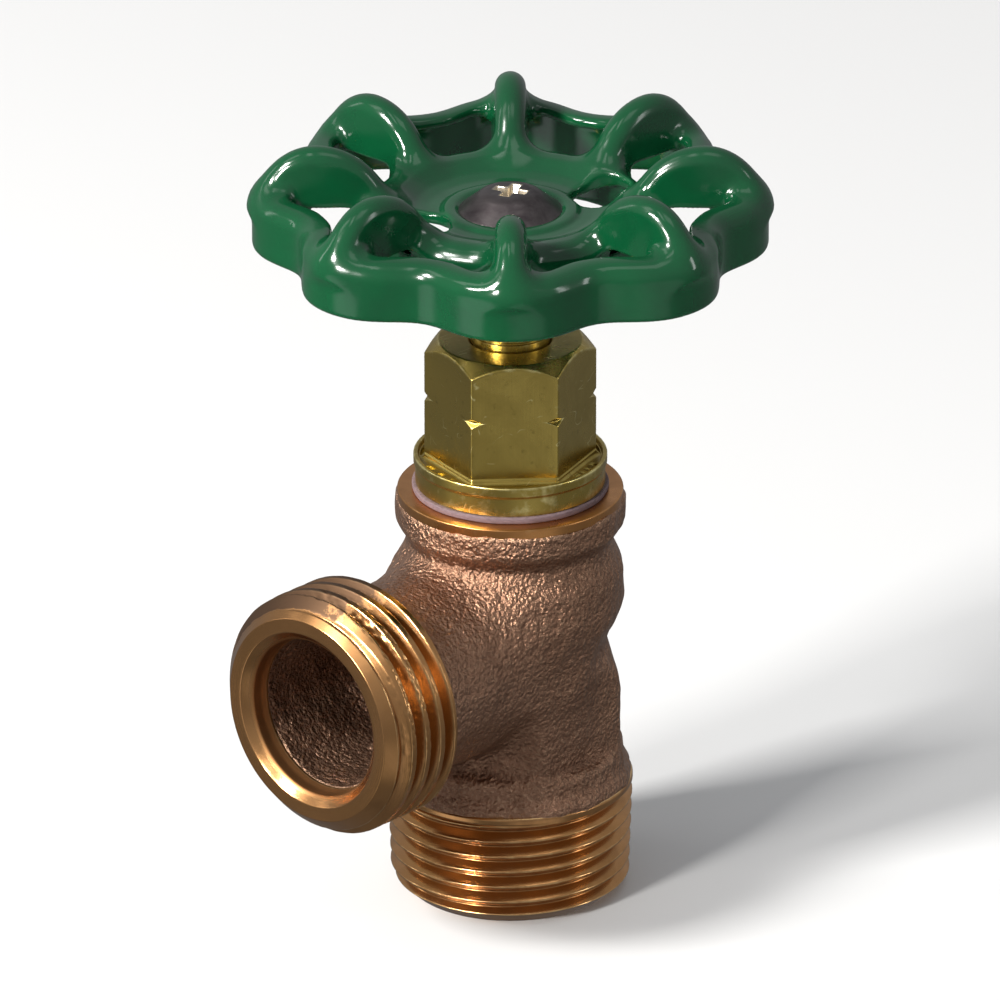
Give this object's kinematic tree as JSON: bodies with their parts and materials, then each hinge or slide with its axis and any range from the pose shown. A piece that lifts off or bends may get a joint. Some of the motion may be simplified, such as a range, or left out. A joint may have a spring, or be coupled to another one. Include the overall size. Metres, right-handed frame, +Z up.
{
  "type": "hose bib",
  "caption": "Angle valve in cast bronze: tapered pipe-thread inlet below, hose-thread outlet at the side, hexagon bonnet and a lobed handwheel on a rising stem",
  "frame": {"origin": "centre of the inlet's end face", "axes": "+Z up along the stem, away from the inlet; -Y out of the hose outlet; +X completes the right-handed frame"},
  "size_m": [0.0553, 0.0596, 0.0859],
  "materials": {
    "cast_bronze": "sand-cast red bronze with turned threads and collar",
    "bonnet_brass": "turned yellow brass bar",
    "fibre": "pressed mauve fibre",
    "stem_brass": "turned yellow brass",
    "seal_rubber": "smooth black nitrile",
    "washer_rubber": "matt black rubber",
    "screw_brass": "plain brass",
    "green_enamel": "glossy green enamel on pressed steel",
    "dark_steel": "dark oxide steel with a bright cross recess"
  },
  "bodies": {
    "valve": {"body": "cast_bronze", "bonnet": "bonnet_brass", "bonnet_gasket": "fibre"},
    "washer_carrier": {"washer_holder": "stem_brass", "seat_washer": "washer_rubber", "washer_screw": "screw_brass"},
    "spindle": {"stem": "stem_brass", "o_ring_lower": "seal_rubber", "o_ring_upper": "seal_rubber", "handwheel": "green_enamel", "wheel_screw": "dark_steel"}
  },
  "joints": [
    {"name": "stem_lift", "type": "slide", "parent": "valve", "child": "washer_carrier", "axis": [0, 0, 1], "range_m": [0, 0.00508]},
    {"name": "handwheel_turn", "type": "hinge", "parent": "washer_carrier", "child": "spindle", "pos_m": [0, 0, 0.0787], "axis": [0, 0, 1], "range_deg": [0, 720]}
  ],
  "couplings": [
    {"joint": "handwheel_turn", "follows": "stem_lift", "rad_per_m": 2473.7}
  ]
}
